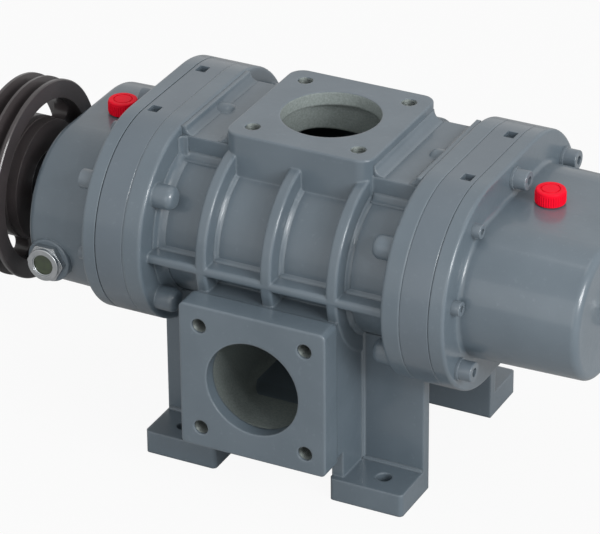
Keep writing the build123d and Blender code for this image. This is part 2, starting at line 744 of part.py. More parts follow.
def make_pulley():
    """The two-groove belt pulley, turned from one casting with windows in its web."""
    low = -PULLEY_START - PULLEY_WIDTH
    high = -PULLEY_START
    middle = (low + high) / 2
    rim = Pos(middle, PULLEY_R - RIM_DEPTH / 2) * Rectangle(PULLEY_WIDTH, RIM_DEPTH)
    rim = chamfer(rim.vertices().group_by(Axis.Y)[-1], 1)
    web = Pos(middle, (PULLEY_R - RIM_DEPTH + HUB_R) / 2) * Rectangle(
        PULLEY_WEB, PULLEY_R - RIM_DEPTH - HUB_R + 6
    )
    hub = Polygon(
        (low + 1, BUSH_R),
        (high, BUSH_R - BUSH_TAPER),
        (high, HUB_R),
        (low + 1, HUB_R),
        align=None,
    )
    section = rim + web + hub
    for k in range(GROOVES):
        section -= groove_cut(low + GROOVE_EDGE + k * GROOVE_PITCH)
    pulley = revolve(section, Axis.X)
    mean_r = (PULLEY_R - RIM_DEPTH + HUB_R) / 2
    half_gap = (PULLEY_R - RIM_DEPTH - HUB_R) / 2 - 1
    for k in range(WINDOWS):
        turn = WINDOW_TURN + 360 * k / WINDOWS
        window = SlotArc(
            CenterArc((0, 0), mean_r, turn - WINDOW_SPAN / 2, WINDOW_SPAN), 2 * half_gap
        )
        pulley -= along_x(window, low, high)
    return Pos(0, DRIVE_Y, AXIS_Z) * pulley


def make_bush():
    """The split taper bush that clamps the pulley to the shaft."""
    low = -PULLEY_START - PULLEY_WIDTH + 1
    high = -PULLEY_START
    section = Polygon(
        (low, GEAR_SEAT_R), (low, BUSH_R), (high, BUSH_R - BUSH_TAPER), (high, GEAR_SEAT_R), align=None
    )
    bush = Pos(0, DRIVE_Y, AXIS_Z) * revolve(section, Axis.X)
    bush -= block((low - 1, high + 1), (DRIVE_Y - 1, DRIVE_Y + 1), (AXIS_Z - BUSH_R - 1, AXIS_Z - GEAR_SEAT_R + 1))
    bush -= block((low - 1, high + 1), (DRIVE_Y - 5, DRIVE_Y + 5), (AXIS_Z, AXIS_Z + GEAR_SEAT_R + 3.3))
    for y, z in bush_screw_places():
        bush -= rod_x(y, z, 4.0, low - 1, low + 14)
    return bush


def bush_screw_places():
    """Where the bush's two clamping screws sit."""
    r = (GEAR_SEAT_R + BUSH_R) / 2
    return [(DRIVE_Y - r, AXIS_Z), (DRIVE_Y + r, AXIS_Z)]


def bush_screws():
    """The two socket set screws that draw the bush in."""
    low = -PULLEY_START - PULLEY_WIDTH + 1
    screws = []
    for y, z in bush_screw_places():
        screw = rod_x(y, z, 4.0 - SCREW_GAP / 2, low + 1, low + 14)
        socket = along_x(Pos(y, z) * RegularPolygon(2.2, 6), low, low + 6)
        screws.append(screw - socket)
    return screws


def make_key():
    """The parallel key between drive shaft and bush."""
    start = -PULLEY_START - PULLEY_WIDTH + 1
    return block(
        (start, -PULLEY_START - 2), (DRIVE_Y - 5, DRIVE_Y + 5), (AXIS_Z + GEAR_SEAT_R - 5, AXIS_Z + GEAR_SEAT_R + 3)
    )


# ---------------------------------------------------------------- sight glasses, caps and plugs
def glass_fitting():
    """A sight glass fitting standing on Z = 0, with its thread below; and its lens."""
    hexagon = extrude(RegularPolygon(GLASS_HEX_R, 6, major_radius=True), GLASS_HEX_THICKNESS)
    dome = Cone(GLASS_HEX_R + 1.5, GLASS_HEX_R - 1, GLASS_HEX_THICKNESS + 1, align=(Align.CENTER, Align.CENTER, Align.MIN))
    hexagon = hexagon & dome
    ring = Pos(0, 0, GLASS_HEX_THICKNESS) * extrude(Circle(GLASS_RING_R), 4)
    ring = fillet(ring.edges().group_by(Axis.Z)[-1], 1)
    thread = Pos(0, 0, -9) * extrude(Circle(GLASS_THREAD_R - SCREW_GAP / 2), 9)
    body = hexagon + ring + thread
    body -= Pos(0, 0, 1) * extrude(Circle(GLASS_R), 12)
    body -= Pos(0, 0, -10) * extrude(Circle(GLASS_R - 2), 12)
    lens = Pos(0, 0, 1) * extrude(Circle(GLASS_R), 7)
    return body, lens


def make_cap(plan):
    """A ridged filler cap with its threaded stem, on the top of a cover."""
    top = extrude(Circle(CAP_R - 0.5), CAP_HEIGHT)
    top = fillet(top.edges().group_by(Axis.Z)[-1], 1.5)
    ridge = Pos(CAP_R - 0.5, 0, 1.2) * extrude(Circle(0.55), CAP_HEIGHT - 4)
    for k in range(CAP_RIDGES):
        top += Rot(0, 0, 360 * k / CAP_RIDGES) * ridge
    top -= Pos(0, 0, CAP_HEIGHT - 1.2) * extrude(Circle(CAP_R - 5) - Circle(CAP_R - 6), 2)
    stem = Pos(0, 0, -CAP_STEM) * extrude(Circle(FILLER_HOLE_R - SCREW_GAP), CAP_STEM)
    return Pos(FILLER_X, 0, plan.top_z) * (top + stem)


def make_drain_plug(plan):
    """A hexagon-head drain plug in the bottom of a cover."""
    z = plan.body_z - plan.body_r
    head = Pos(DRAIN_X, 0, z - 6) * extrude(RegularPolygon(9, 6), 6 + 1.5)
    thread = rod_z(DRAIN_X, 0, DRAIN_HOLE_R - SCREW_GAP / 2, z, z + 10)
    recess = rod_z(DRAIN_X, 0, 11, z, z + 3)
    return head - recess + thread


# ---------------------------------------------------------------- the assembly
def group(pieces):
    """Several separate solids as one node."""
    return Compound(children=[piece for piece in pieces])


def build_nodes():
    """Every node by name."""
    nodes = {"casing": make_casing()}
    ends = (("gear", GEAR_PLAN, Pos(0, 0, 0)), ("pulley", PULLEY_PLAN, TURNED))
    for end, plan, turn in ends:
        nodes[f"{end}_side_plate"] = turn * make_side_plate(plan)
        nodes[f"{end}_cover_gasket"] = turn * make_gasket(plan)
        nodes[f"{end}_cover_large_screws"] = group([turn * s for s in large_screws(plan)])
        nodes[f"{end}_cover_small_screws"] = group([turn * s for s in small_screws(plan)])
        nodes[f"{end}_plate_screws"] = group([turn * s for s in hidden_screws(plan)])
        nodes[f"{end}_retainer_screws"] = group([turn * s for s in retainer_screws()])
        nodes[f"{end}_filler_cap"] = turn * make_cap(plan)
    nodes["gear_cover"] = make_gear_cover()
    nodes["pulley_end_cover"] = TURNED * make_pulley_cover()

    balls = {"drive": [], "driven": []}
    for end, _, turn in ends:
        for y in (DRIVE_Y, DRIVEN_Y):
            drive_here = (y == DRIVE_Y) == (end == "gear")
            shaft = "drive" if drive_here else "driven"
            outer, inner, some = bearing_parts(y)
            nodes[f"{shaft}_{end}_bearing_outer_ring"] = turn * outer
            nodes[f"{shaft}_{end}_bearing_inner_ring"] = turn * inner
            nodes[f"{shaft}_{end}_bearing_retainer"] = turn * make_retainer(y)
            nodes[f"{shaft}_{end}_chamber_seal"] = turn * chamber_seal(y)
            balls[shaft] += [turn * ball for ball in some]
    for shaft, found in balls.items():
        nodes[f"{shaft}_bearing_balls"] = group(found)

    pulley_end = PULLEY_START + PULLEY_WIDTH + SHAFT_STICK_OUT
    for shaft, y, low_end in (("drive", DRIVE_Y, pulley_end), ("driven", DRIVEN_Y, DRIVEN_PULLEY_END)):
        nodes[f"{shaft}_rotor"] = make_rotor(y)
        nodes[f"{shaft}_shaft"] = make_shaft(y, low_end, shaft == "driven")
        nodes[f"{shaft}_shaft_locknuts"] = group(
            [make_locknut(y, GEAR_END, THREAD_R), TURNED * make_locknut(-y, PLATE_END, GEAR_SEAT_R)]
        )
    nodes["drive_timing_gear"] = make_gear(DRIVE_Y, 0)
    nodes["driven_timing_gear"] = make_gear(DRIVEN_Y, pi / GEAR_TEETH)
    nodes["oil_slinger"] = TURNED * make_slinger(-DRIVEN_Y, PLATE_END + NUT_WIDTH + 4)

    nodes["shaft_lip_seal"] = TURNED * lip_seal()
    nodes["belt_pulley"] = make_pulley()
    nodes["pulley_taper_bush"] = make_bush()
    nodes["pulley_bush_screws"] = group(bush_screws())
    nodes["pulley_key"] = make_key()

    body, lens = glass_fitting()
    front = Pos(-GLASS_X, -GLASS_FACE_Y, GLASS_Z) * Rot(90, 0, 0)
    end_wall = Pos(GEAR_COVER_END, DRIVE_Y, AXIS_Z) * Rot(0, 90, 0)
    nodes["front_sight_glass_fitting"] = front * body
    nodes["front_sight_glass_lens"] = front * lens
    nodes["end_sight_glass_fitting"] = end_wall * body
    nodes["end_sight_glass_lens"] = end_wall * lens
    nodes["oil_drain_plugs"] = group([make_drain_plug(GEAR_PLAN), TURNED * make_drain_plug(PULLEY_PLAN)])
    return nodes


def main():
    """Write one STEP file per node."""
    os.makedirs("parts", exist_ok=True)
    for name, shape in build_nodes().items():
        export_step(shape, f"parts/{name}.step")


main()
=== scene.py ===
"""Looks of a belt-driven roots vacuum pump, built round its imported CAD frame."""

import json
import logging
import math
from collections.abc import Callable, Iterable, Sequence
from dataclasses import dataclass, field
from enum import Enum

import bpy
import bmesh
from mathutils import Matrix, Vector

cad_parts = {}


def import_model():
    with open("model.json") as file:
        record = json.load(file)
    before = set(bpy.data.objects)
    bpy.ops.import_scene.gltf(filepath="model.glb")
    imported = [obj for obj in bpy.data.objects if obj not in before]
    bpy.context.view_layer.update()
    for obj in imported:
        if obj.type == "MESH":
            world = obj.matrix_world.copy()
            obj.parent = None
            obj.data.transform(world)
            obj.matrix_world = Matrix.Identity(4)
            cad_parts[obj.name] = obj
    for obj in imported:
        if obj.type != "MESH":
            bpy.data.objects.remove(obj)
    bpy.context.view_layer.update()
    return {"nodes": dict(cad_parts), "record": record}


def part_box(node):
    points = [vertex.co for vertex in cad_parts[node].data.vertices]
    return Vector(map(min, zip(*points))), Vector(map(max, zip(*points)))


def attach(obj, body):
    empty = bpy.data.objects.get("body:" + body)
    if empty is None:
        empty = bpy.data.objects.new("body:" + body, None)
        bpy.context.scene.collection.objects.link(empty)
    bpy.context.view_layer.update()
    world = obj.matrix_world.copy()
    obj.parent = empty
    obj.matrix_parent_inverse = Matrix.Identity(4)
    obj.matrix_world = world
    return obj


log = logging.getLogger("roots_pump")
MM = 0.001

# Places on the casing, in millimetres from the middle of its feet's plane
AXIS_Z = 210.0
SHAFT_Y = 45.0
CHAMBER_WALL_R = 67.3
ROOF_Z = 296.3
ROOF_HALF_Y = 62.0
ROOF_WALL_FOOT_Z = 275.1
FLANGE_FACE_X = 116.0
DUCT_HALF_X = 68.0
LEG_FACE_Y = 77.5
LEG_END_X = 127.0
FOOT_TOP_Z = 22.0
BELT_RIB_Z = (200.0, 209.0)
RIB_BAYS = ((-115.0, -69.0), (-58.0, -5.5), (5.5, 58.0), (69.0, 115.0))
INLET_FACE_Z = 313.0
OUTLET_FACE_Y = -158.0
OUTLET_Z = 116.0
PORT_HALF = 51.25
PAD_HALF = 71.0
PORT_LIP = 13.0
GAS_WAY_HALF = 58.0

# How a bevel is cut to a hollow: its profile, and the share of the bar that it takes
HOLLOW_PROFILE = 0.08
HOLLOW_SHARE = 0.94


# ---------------------------------------------------------------- small tools
def linear(code: str, alpha: float = 1.0) -> tuple[float, float, float, float]:
    """Turn an sRGB hex colour into the linear values that shaders take.

    Args:
        code: six hex digits, with or without a leading hash.
        alpha: the fourth value.

    Returns:
        Linear red, green and blue, with alpha.
    """
    digits = code.lstrip("#")
    values = [int(digits[k : k + 2], 16) / 255 for k in (0, 2, 4)]
    red, green, blue = (v / 12.92 if v <= 0.04045 else ((v + 0.055) / 1.055) ** 2.4 for v in values)
    return red, green, blue, alpha


def add_node(
    material: bpy.types.Material | bpy.types.World,
    kind: str,
    inputs: dict | None = None,
    **settings: object,
) -> bpy.types.Node:
    """Add a shader node with its settings, values and links.

    Args:
        material: the material or the world that gets the node.
        kind: the node's type name, without the ShaderNode prefix.
        inputs: socket name or number to a value, or to an output socket to link.
        settings: properties of the node itself.

    Returns:
        The new node.
    """
    node = material.node_tree.nodes.new("ShaderNode" + kind)
    for name, value in settings.items():
        setattr(node, name, value)
    for socket, value in (inputs or {}).items():
        if isinstance(value, bpy.types.NodeSocket):
            material.node_tree.links.new(value, node.inputs[socket])
        else:
            node.inputs[socket].default_value = value
    return node


def deselect() -> None:
    """Deselect every object, leaving edit mode first."""
    if bpy.context.object and bpy.context.object.mode != "OBJECT":
        bpy.ops.object.mode_set(mode="OBJECT")
    bpy.ops.object.select_all(action="DESELECT")


def pick(test: Callable[[Vector], bool], mode: str) -> None:
    """Select what passes a test in edit mode, and nothing else.

    Args:
        test: takes a vertex's place, or a face's or edge's middle, in metres.
        mode: VERT, EDGE or FACE.
    """
    bpy.ops.mesh.select_mode(type=mode)
    bpy.ops.mesh.select_all(action="DESELECT")
    mesh = bmesh.from_edit_mesh(bpy.context.object.data)
    groups = {"VERT": mesh.verts, "EDGE": mesh.edges, "FACE": mesh.faces}
    for item in groups[mode]:
        if mode == "VERT":
            middle = item.co
        elif mode == "EDGE":
            middle = (item.verts[0].co + item.verts[1].co) / 2
        else:
            middle = item.calc_center_median()
        item.select_set(bool(test(middle)))
    mesh.select_flush_mode()
    bmesh.update_edit_mesh(bpy.context.object.data)


def settle(name: str) -> bpy.types.Object:
    """Name the active object, and put its place and its modifiers into its mesh.

    Args:
        name: the finished piece's name.

    Returns:
        The piece, at the origin, unturned and unscaled.
    """
    piece = bpy.context.object
    if piece.mode != "OBJECT":
        bpy.ops.object.mode_set(mode="OBJECT")
    for modifier in list(piece.modifiers):
        bpy.ops.object.modifier_apply(modifier=modifier.name)
    bpy.ops.object.transform_apply(location=True, rotation=True, scale=True)
    piece.name = name
    piece.data.name = name
    return piece


def copies(piece: bpy.types.Object, places: Iterable[Matrix]) -> bpy.types.Object:
    """Copy a piece, each copy with its own mesh, and join the copies into one.

    Args:
        piece: the piece to copy, used up as the first of them.
        places: where each copy goes, seen from the piece's own place.

    Returns:
        The joined piece.
    """
    made = []
    for place in places:
        twin = piece.copy()
        twin.data = piece.data.copy()
        twin.data.transform(place)
        bpy.context.collection.objects.link(twin)
        made.append(twin)
    name = piece.name
    bpy.data.objects.remove(piece)
    return join(name, made)


def join(name: str, pieces: Sequence[bpy.types.Object]) -> bpy.types.Object:
    """Join pieces of one kind into one, with its faces pointing outward.

    Args:
        name: the joined piece's name.
        pieces: what is joined.

    Returns:
        The joined piece.
    """
    deselect()
    for piece in pieces:
        piece.select_set(True)
    bpy.context.view_layer.objects.active = pieces[0]
    if len(pieces) > 1:
        bpy.ops.object.join()
    bpy.ops.object.mode_set(mode="EDIT")
    bpy.ops.mesh.select_all(action="SELECT")
    bpy.ops.mesh.remove_doubles(threshold=0.00001)
    bpy.ops.mesh.normals_make_consistent(inside=False)
    return settle(name)


def smooth(piece: bpy.types.Object, degrees: float = 35.0) -> None:
    """Shade a piece smooth, but for its sharp edges.

    Args:
        piece: the piece to shade.
        degrees: angle between faces from which an edge stays sharp.
    """
    deselect()
    piece.select_set(True)
    bpy.context.view_layer.objects.active = piece
    bpy.ops.object.shade_smooth_by_angle(angle=math.radians(degrees))


def dress(piece: bpy.types.Object, material: bpy.types.Material) -> None:
    """Give every slot of a piece one material.

    Args:
        piece: the piece to dress.
        material: the material that it gets.
    """
    if not piece.data.materials:
        piece.data.materials.append(material)
    for slot in piece.material_slots:
        slot.material = material


# ---------------------------------------------------------------- finishes
class Wall(Enum):
    """How a painted wall was made, which sets how rough it feels under the paint."""

    SAND_CAST = "sand cast"
    MACHINED = "machined"


@dataclass(frozen=True)
class Finish:
    """What every finish has: a name, a colour and how it was made.

    Attributes:
        name: the material's common name.
        colour: main colour, sRGB hex.
        shade: second colour that the first drifts to, sRGB hex.
        drift_mm: size of the patches in which the colour drifts.
        grain_mm: size of the fine texture.
        depth_mm: depth of the fine texture.
        edge_mm: radius to which the finish rounds sharp edges.
        roughness: the shader's roughness.
    """

    name: str
    colour: str
    shade: str
    drift_mm: float = 60.0
    grain_mm: float = 1.6
    depth_mm: float = 0.03
    edge_mm: float = 0.8
    roughness: float = 0.4

    def place(self, material: bpy.types.Material) -> bpy.types.NodeSocket:
        """The place on the piece, in metres, that patterns read."""
        return add_node(material, "TexCoord").outputs["Object"]

    def noise(
        self,
        material: bpy.types.Material,
        where: bpy.types.NodeSocket,
        size_mm: float,
        detail: float = 3.0,
    ) -> bpy.types.NodeSocket:
        """Fractal noise with lumps of a real size.

        Args:
            material: the material that gets the node.
            where: the place that the noise reads.
            size_mm: lump size in millimetres.
            detail: octaves of finer noise.

        Returns:
            The noise value.
        """
        values = {"Vector": where, "Scale": 1 / (size_mm * MM), "Detail": detail}
        return add_node(material, "TexNoise", values).outputs[0]

    def mix(
        self,
        material: bpy.types.Material,
        amount: bpy.types.NodeSocket,
        first: object,
        second: object,
    ) -> bpy.types.NodeSocket:
        """Mix two colours by an amount, and return the colour."""
        values = {0: amount, 6: first, 7: second}
        return add_node(material, "Mix", values, data_type="RGBA").outputs[2]

    def ramp(
        self, material: bpy.types.Material, value: bpy.types.NodeSocket, low: float, high: float
    ) -> bpy.types.NodeSocket:
        """Stretch the part of a value between two limits to run from 0 to 1."""
        values = {"Value": value, "From Min": low, "From Max": high}
        return add_node(material, "MapRange", values).outputs[0]

    def edges(self, material: bpy.types.Material) -> tuple[bpy.types.NodeSocket, bpy.types.NodeSocket]:
        """Rounded normals, and how near the surface is to an edge.

        Args:
            material: the material that gets the nodes.

        Returns:
            The normal for bumps to start from, and a value that rises from 0 to 1 on edges.
        """
        bevel = add_node(material, "Bevel", {"Radius": self.edge_mm * MM}, samples=6)
        flat = add_node(material, "NewGeometry").outputs["Normal"]
        along = add_node(
            material, "VectorMath", {0: bevel.outputs[0], 1: flat}, operation="DOT_PRODUCT"
        )
        edge = self.ramp(material, along.outputs["Value"], 0.995, 0.86)
        return bevel.outputs[0], edge

    def bump(
        self,
        material: bpy.types.Material,
        height: bpy.types.NodeSocket,
        depth_mm: float,
        under: bpy.types.NodeSocket,
    ) -> bpy.types.NodeSocket:
        """A bump of a real depth over the normals under it."""
        values = {"Height": height, "Distance": depth_mm * MM, "Strength": 1.0, "Normal": under}
        return add_node(material, "Bump", values).outputs[0]

    def shader(self, material: bpy.types.Material, values: dict) -> None:
        """Set the material's own shader.

        Args:
            material: the material.
            values: socket name to a value or a link.
        """
        shader = material.node_tree.nodes["Principled BSDF"]
        for socket, value in values.items():
            if isinstance(value, bpy.types.NodeSocket):
                material.node_tree.links.new(value, shader.inputs[socket])
            else:
                shader.inputs[socket].default_value = value

    def build(self) -> bpy.types.Material:
        """Make the material.

        Returns:
            The finished material.
        """
        material = bpy.data.materials.new(self.name)
        material.use_nodes = True
        self.paint(material)
        return material

    def paint(self, material: bpy.types.Material) -> None:
        """Add this finish's own nodes; each kind of finish has its own."""
        raise NotImplementedError


@dataclass(frozen=True)
class Enamel(Finish):
    """Alkyd enamel, brushed or sprayed thick over iron.

    It pools into a soft gloss and hides the casting's grain to gentle lumps. Along every edge it
    carries a painted highlight: a lighter line that stands in for light caught on the edge.
    """

    wall: Wall = Wall.SAND_CAST
    # Lighter colour for the painted highlight along edges, and for the thin-coat flecks
    fleck_and_painted_highlight_colour: str = "#8f9aa2"
    bare_inside: bool = False

    def paint(self, material: bpy.types.Material) -> None:
        """Paint over gentle lumps, with a painted highlight along edges, and lighter in sparse flecks.

        Args:
            material: the material that gets the nodes.
        """
        where = self.place(material)
        normal, edge = self.edges(material)
        drift = self.ramp(material, self.noise(material, where, self.drift_mm), 0.35, 0.65)
        body = self.mix(material, drift, linear(self.colour), linear(self.shade))
        # Flecks where the brush left the coat thin, about 5 mm apart
        fleck = self.ramp(material, self.noise(material, where, 5.0, 4.0), 0.62, 0.78)
        body = self.mix(material, self.scaled(material, fleck, 0.12), body, linear(self.fleck_and_painted_highlight_colour))
        # Painted highlight: edges turn 30 % of the way to the lighter colour, for light caught on them
        colour = self.mix(material, self.scaled(material, edge, 0.3), body, linear(self.fleck_and_painted_highlight_colour))
        # A sand mould leaves lumps about 14 mm wide, and a brushed coat on a flat plate 30 mm
        lumps = self.noise(material, where, 14.0 if self.wall is Wall.SAND_CAST else 30.0, 2.0)
        normal = self.bump(material, lumps, 6 * self.depth_mm, normal)
        normal = self.bump(material, self.noise(material, where, self.grain_mm), self.depth_mm, normal)
        rough = self.ramp(material, self.noise(material, where, 22.0), 0.2, 0.8)
        rough = add_node(
            material,
            "MapRange",
            {"Value": rough, "To Min": self.roughness - 0.06, "To Max": self.roughness + 0.08},
        ).outputs[0]
        if self.bare_inside:
            colour, rough = self.raw_iron(material, where, colour, rough)
        self.shader(
            material,
            {
                "Base Color": colour,
                "Roughness": rough,
                "Normal": normal,
                "Coat Weight": 0.6,
                "Coat Roughness": 0.13,
            },
        )

    def scaled(
        self, material: bpy.types.Material, value: bpy.types.NodeSocket, factor: float
    ) -> bpy.types.NodeSocket:
        """A value times a factor."""
        return add_node(material, "Math", {0: value, 1: factor}, operation="MULTIPLY").outputs[0]

    def raw_iron(
        self,
        material: bpy.types.Material,
        where: bpy.types.NodeSocket,
        colour: bpy.types.NodeSocket,
        rough: bpy.types.NodeSocket,
    ) -> tuple[bpy.types.NodeSocket, bpy.types.NodeSocket]:
        """Leave the gas way bare: grey-green iron as it left the mould, finely pitted.

        Args:
            material: the material.
            where: the place on the casing.
            colour: the paint's colour.
            rough: the paint's roughness.

        Returns:
            Colour and roughness with the bare iron in them.
        """
        # Two boxes inside the outer walls hold the gas way: one from the inlet's face down,
        # and one from behind the outlet's painted lip back
        half_width = (-GAS_WAY_HALF, GAS_WAY_HALF)
        boxes = (
            (half_width, half_width, (125, INLET_FACE_Z - 0.4)),
            (half_width, (OUTLET_FACE_Y + PORT_LIP, 60), (OUTLET_Z - 56, OUTLET_Z + 56)),
        )
        axes = add_node(material, "SeparateXYZ", {0: where}).outputs
        bare = None
        for box in boxes:
            for axis, (low, high) in enumerate(box):
                half, middle = (high - low) / 2, (high + low) / 2
                near = add_node(
                    material,
                    "Math",
                    {0: axes[axis], 1: middle * MM, 2: half * MM},
                    operation="COMPARE",
                ).outputs[0]
                inside = near if axis == 0 else add_node(
                    material, "Math", {0: inside, 1: near}, operation="MULTIPLY"
                ).outputs[0]
            bare = inside if bare is None else add_node(
                material, "Math", {0: bare, 1: inside}, operation="MAXIMUM"
            ).outputs[0]
        pits = self.ramp(material, self.noise(material, where, 1.8, 6.0), 0.25, 0.75)
        iron = self.mix(material, pits, linear("#78817f"), linear("#939c9a"))
        rough = add_node(
            material, "Mix", {0: bare, 2: rough, 3: 0.7}, data_type="FLOAT"
        ).outputs[0]
        return self.mix(material, bare, colour, iron), rough


@dataclass(frozen=True)
class Metal(Finish):
    """Bare or phosphated steel and iron, turned or ground, with fine tool marks."""

    lay_mm: float = 0.5

    def paint(self, material: bpy.types.Material) -> None:
        """Bare metal with streaks along the tool's path, a little stain and a painted highlight along
        edges.

        Args:
            material: the material that gets the nodes.
        """
        where = self.place(material)
        normal, edge = self.edges(material)
        drift = self.ramp(material, self.noise(material, where, self.drift_mm), 0.3, 0.7)
        body = self.mix(material, drift, linear(self.colour), linear(self.shade))
        # Painted highlight: edges turn near-white, for light glinting on turned edges and chamfers
        colour = self.mix(material, edge, body, linear("#d9dcdf"))
        marks = add_node(
            material,
            "TexWave",
            {"Vector": where, "Scale": 0.3 / (self.lay_mm * MM), "Distortion": 1.5, "Detail": 2.0},
            bands_direction="X",
        ).outputs[1]
        normal = self.bump(material, marks, self.depth_mm, normal)
        normal = self.bump(material, self.noise(material, where, self.grain_mm), self.depth_mm, normal)
        values = {"Base Color": colour, "Roughness": self.roughness, "Normal": normal, "Metallic": 1.0}
        self.shader(material, values)


@dataclass(frozen=True)
class Moulding(Finish):
    """Moulded plastic, rubber or pressed paper: even colour under a fine, dull skin."""

    gloss: float = 0.5

    def paint(self, material: bpy.types.Material) -> None:
        """One colour all through, with a faint skin and rounded ridges.

        Args:
            material: the material that gets the nodes.
        """
        where = self.place(material)
        normal = self.edges(material)[0]
        drift = self.ramp(material, self.noise(material, where, self.drift_mm), 0.3, 0.7)
        body = self.mix(material, drift, linear(self.colour), linear(self.shade))
        skin = self.noise(material, where, self.grain_mm, 4.0)
        normal = self.bump(material, skin, self.depth_mm, normal)
        rough = add_node(
            material,
            "MapRange",
            {"Value": skin, "To Min": self.roughness - 0.05, "To Max": self.roughness + 0.08},
        ).outputs[0]
        self.shader(
            material,
            {
                "Base Color": body,
                "Roughness": rough,
                "Normal": normal,
                "Specular IOR Level": self.gloss,
            },
        )


@dataclass(frozen=True)
class LevelGlass(Finish):
    """Pressed glass with dark gear oil and the fitting's grey bottom behind it."""

    def paint(self, material: bpy.types.Material) -> None:
        """Olive oil colour that deepens in cloudy patches under a clear, shiny face.

        Args:
            material: the material that gets the nodes.
        """
        where = self.place(material)
        cloud = self.ramp(material, self.noise(material, where, 6.0), 0.3, 0.75)
        colour = self.mix(material, cloud, linear(self.colour), linear(self.shade))
        normal = self.bump(
            material, self.noise(material, where, 4.0), self.depth_mm, self.edges(material)[0]
        )
        self.shader(
            material,
            {
                "Base Color": colour,
                "Roughness": self.roughness,
                "Normal": normal,
                "Coat Weight": 1.0,
                "Coat Roughness": 0.03,
                "IOR": 1.5,
            },
        )


CASTING = dict(colour="#606c75", shade="#5a666f", depth_mm=0.04, edge_mm=3.2, roughness=0.34)
PLATE = dict(colour="#5e6972", shade="#5a656e", depth_mm=0.02, edge_mm=1.2, roughness=0.34)
FINISHES: dict[str, Finish] = {
    # Thick paint over a rough casting: soft gloss, slow lumps, full round edges
    "casing_paint": Enamel("enamel on the sand-cast casing", bare_inside=True, **CASTING),
    "cover_paint": Enamel("enamel on the cast covers", **{**CASTING, "edge_mm": 1.6}),
    # The same paint over faced plates and screws: flatter, with crisper edges
    "plate_paint": Enamel("enamel on the machined plates", wall=Wall.MACHINED, **PLATE),
    "painted_screws": Enamel(
        "enamel on the screws", wall=Wall.MACHINED, **{**PLATE, "colour": "#6d777f", "edge_mm": 0.6}
    ),
    # Oil-soaked paper: a thin dark line between plate and cover
    "gasket": Moulding("oiled gasket paper", "#17191b", "#202325", roughness=0.8, gloss=0.2),
    # Nylon coloured all through: strong even red, dull ridges
    "red_plastic": Moulding(
        "moulded red nylon", "#f0062a", "#e60526", grain_mm=0.8, depth_mm=0.01, edge_mm=0.3,
        roughness=0.5, gloss=0.15,
    ),
    # Clear glass with oil behind: a dark green well with one sharp reflection
    "oil_glass": LevelGlass("glass over gear oil", "#1c2613", "#354525", depth_mm=0.02, roughness=0.12),
    # Aluminium off the lathe: bright, with fine rings that blur what it mirrors
    "glass_fitting": Metal(
        "turned aluminium", "#c9ccce", "#b4b8bb", drift_mm=8, grain_mm=0.7, depth_mm=0.012,
        edge_mm=0.5, roughness=0.26,
    ),
    # Thin black paint over turned iron: satin, with a warm painted highlight along its edges
    "pulley_black": Enamel(
        "black enamel on the pulley", "#3e3839", "#332f30", depth_mm=0.02, edge_mm=0.9,
        roughness=0.42, fleck_and_painted_highlight_colour="#4c4644",
    ),
    # Phosphated and oiled: dark grey, nearly matt
    "bush_steel": Metal("phosphated steel", "#3a3a3c", "#2c2d2f", depth_mm=0.01, roughness=0.5),
    # Milled or tapped iron: mid grey, dull, with tool marks
    "rotor_iron": Metal("machined grey iron", "#7c827f", "#666c6a", depth_mm=0.03, roughness=0.45),
    "tapped_iron": Metal(
        "freshly tapped grey iron", "#878d8b", "#6f7674", depth_mm=0.004, edge_mm=0.06, roughness=0.62
    ),
    # Ground or turned steel: lighter and smoother than the iron
    "gear_steel": Metal("ground gear steel", "#9a9c9e", "#85888b", depth_mm=0.01, roughness=0.3),
    # Moulded rubber: black, with no clear reflection
    "seal_rubber": Moulding("nitrile rubber", "#121212", "#1b1b1b", roughness=0.7, gloss=0.3),
    # Lapped rings and balls: the brightest metal, mirror-like
    "bearing_steel": Metal(
        "polished bearing steel", "#c4c6c9", "#aeb1b5", depth_mm=0.004, roughness=0.16
    ),
    "bright_steel": Metal("turned steel", "#a9abae", "#8f9296", depth_mm=0.01, roughness=0.3),
}


# ---------------------------------------------------------------- sub-assemblies
@dataclass
class Piece:
    """What every added sub-assembly shares: its finishes and the body it rides on."""

    materials: dict[str, bpy.types.Material]
    body: str = "housing"

    def finish(
        self, piece: bpy.types.Object, slot: str, material: str | None = None
    ) -> bpy.types.Object:
        """Dress a piece, shade it smooth and let it ride on its body.

        Args:
            piece: the finished mesh.
            slot: the material slot whose finish it gets, where it has no finish of its own.
            material: its own finish, where that isn't the slot's.

        Returns:
            The same piece.
        """
        dress(piece, self.materials[material or slot])
        smooth(piece)
        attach(piece, self.body)
        log.info("%s: %d faces", piece.name, len(piece.data.polygons))
        return piece


